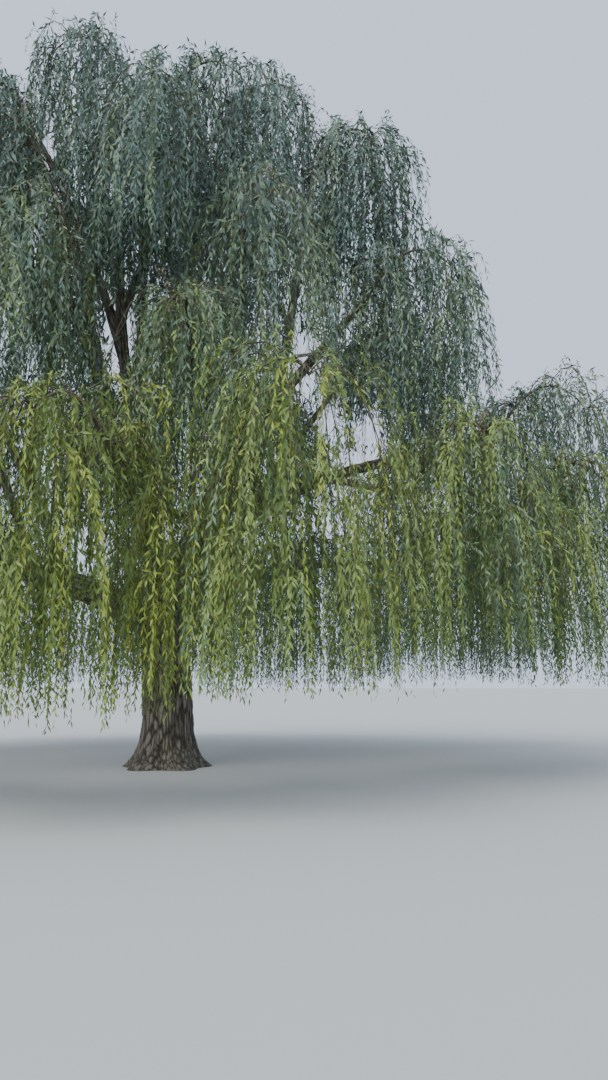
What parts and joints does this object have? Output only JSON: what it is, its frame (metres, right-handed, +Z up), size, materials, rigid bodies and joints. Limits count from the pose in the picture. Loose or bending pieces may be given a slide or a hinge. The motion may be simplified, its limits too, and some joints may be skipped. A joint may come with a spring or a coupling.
{
  "type": "weeping willow tree",
  "caption": "Tall weeping willow with a flared trunk, arching boughs and tiers of foliage hanging in long strands to near the ground.",
  "frame": {"origin": "middle of the flat cut under the trunk, at ground level", "axes": "+Z up along the trunk; the picture looks along +Y with +X to its right"},
  "size_m": [19.974, 17.587, 16.819],
  "materials": {
    "bark": "rough, ridged grey-brown bark",
    "leaves": "slender matte green leaves in hanging sprays"
  },
  "bodies": {
    "root": {"trunk": "bark", "bough_top_right": "bark", "bough_top_middle": "bark", "bough_upper_far_left": "bark", "bough_upper_front": "bark", "bough_right": "bark", "bough_right_front": "bark", "bough_right_low": "bark", "bough_middle_right": "bark", "bough_upper_right": "bark", "bough_middle_front": "bark", "bough_front": "bark", "bough_front_left": "bark", "bough_middle_front_low": "bark", "bough_left_front": "bark", "bough_front_far_left": "bark", "bough_middle_left_front": "bark", "bough_middle_front_left": "bark", "bough_upper_front_left": "bark", "bough_left": "bark", "bough_back_left": "bark", "bough_middle_left_back": "bark", "bough_upper_back_left": "bark", "bough_back": "bark", "bough_middle_back": "bark", "bough_upper_back": "bark", "bough_back_right": "bark", "bough_right_back": "bark", "bough_middle_back_right": "bark", "bough_middle_right_back": "bark", "foliage_top_left": "leaves", "foliage_top_right": "leaves", "foliage_top_middle": "leaves", "foliage_upper_far_left": "leaves", "foliage_upper_front": "leaves", "foliage_right": "leaves", "foliage_right_front": "leaves", "foliage_right_low": "leaves", "foliage_middle_right": "leaves", "foliage_upper_right": "leaves", "foliage_middle_front": "leaves", "foliage_front": "leaves", "foliage_front_left": "leaves", "foliage_middle_front_low": "leaves", "foliage_left_front": "leaves", "foliage_front_far_left": "leaves", "foliage_middle_left_front": "leaves", "foliage_middle_front_left": "leaves", "foliage_upper_front_left": "leaves", "foliage_left": "leaves", "foliage_back_left": "leaves", "foliage_middle_left_back": "leaves", "foliage_upper_back_left": "leaves", "foliage_back": "leaves", "foliage_middle_back": "leaves", "foliage_upper_back": "leaves", "foliage_back_right": "leaves", "foliage_right_back": "leaves", "foliage_middle_back_right": "leaves", "foliage_middle_right_back": "leaves"}
  },
  "joints": []
}
